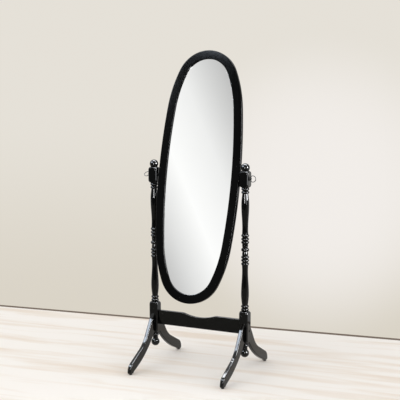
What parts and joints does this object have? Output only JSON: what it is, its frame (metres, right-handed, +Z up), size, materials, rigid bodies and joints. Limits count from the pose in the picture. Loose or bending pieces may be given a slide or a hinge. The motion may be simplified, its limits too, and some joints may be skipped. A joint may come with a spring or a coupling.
{
  "type": "cheval mirror",
  "caption": "Free-standing oval mirror that tilts between turned posts joined by a scooped stretcher on curved legs, held by ring thumbscrews at its pivot.",
  "frame": {"origin": "on the floor, midway between the posts", "axes": "+X along the stretcher to the right of someone who looks into the glass, +Y to the back, +Z up"},
  "size_m": [0.58, 0.516, 1.5011],
  "materials": {
    "black_wood": "satin black paint",
    "pad_plastic": "matt",
    "dowel_wood": "bare",
    "black_metal": "black oxide",
    "brass": "bright",
    "black_plastic": "matt",
    "bright_metal": "polished",
    "mirror": "polished",
    "felt": "matt",
    "board": "matt",
    "steel": "satin"
  },
  "bodies": {
    "stand": {"post_left": "black_wood", "post_right": "black_wood", "stretcher": "black_wood", "leg_front_left": "black_wood", "leg_front_right": "black_wood", "leg_rear_left": "black_wood", "leg_rear_right": "black_wood", "foot_pad_front_left": "pad_plastic", "foot_pad_front_right": "pad_plastic", "foot_pad_rear_left": "pad_plastic", "foot_pad_rear_right": "pad_plastic", "leg_dowels": "dowel_wood", "stretcher_bolts": "black_metal", "barrel_nuts": "brass", "pivot_spacer_left": "black_plastic", "pivot_spacer_right": "black_plastic"},
    "mirror": {"mirror_frame": "black_wood", "pivot_insert_left": "brass", "pivot_insert_right": "brass", "mirror_glass": "mirror", "packing_sheet": "felt", "backing_board": "board", "board_screws": "steel"},
    "washer_left": {"washer_left": "black_plastic"},
    "washer_right": {"washer_right": "black_plastic"},
    "thumbscrew_left": {"thumbscrew_left": "bright_metal"},
    "thumbscrew_right": {"thumbscrew_right": "bright_metal"}
  },
  "joints": [
    {"name": "mirror_tilt", "type": "hinge", "parent": "stand", "child": "mirror", "pos_m": [0, 0, 0.918], "axis": [1, 0, 0], "continuous": true},
    {"name": "screw_travel_left", "type": "slide", "parent": "stand", "child": "washer_left", "axis": [-1, 0, 0], "range_m": [0, 0.0121]},
    {"name": "screw_travel_right", "type": "slide", "parent": "stand", "child": "washer_right", "axis": [1, 0, 0], "range_m": [0, 0.0121]},
    {"name": "thumbscrew_turn_left", "type": "hinge", "parent": "washer_left", "child": "thumbscrew_left", "pos_m": [-0.265, 0, 0.918], "axis": [-1, 0, 0], "range_deg": [0, 4320]},
    {"name": "thumbscrew_turn_right", "type": "hinge", "parent": "washer_right", "child": "thumbscrew_right", "pos_m": [0.265, 0, 0.918], "axis": [1, 0, 0], "range_deg": [0, 4320]}
  ],
  "couplings": [
    {"joint": "screw_travel_left", "follows": "thumbscrew_turn_left", "m_per_rad": 0.00015915},
    {"joint": "screw_travel_right", "follows": "thumbscrew_turn_right", "m_per_rad": 0.00015915}
  ]
}
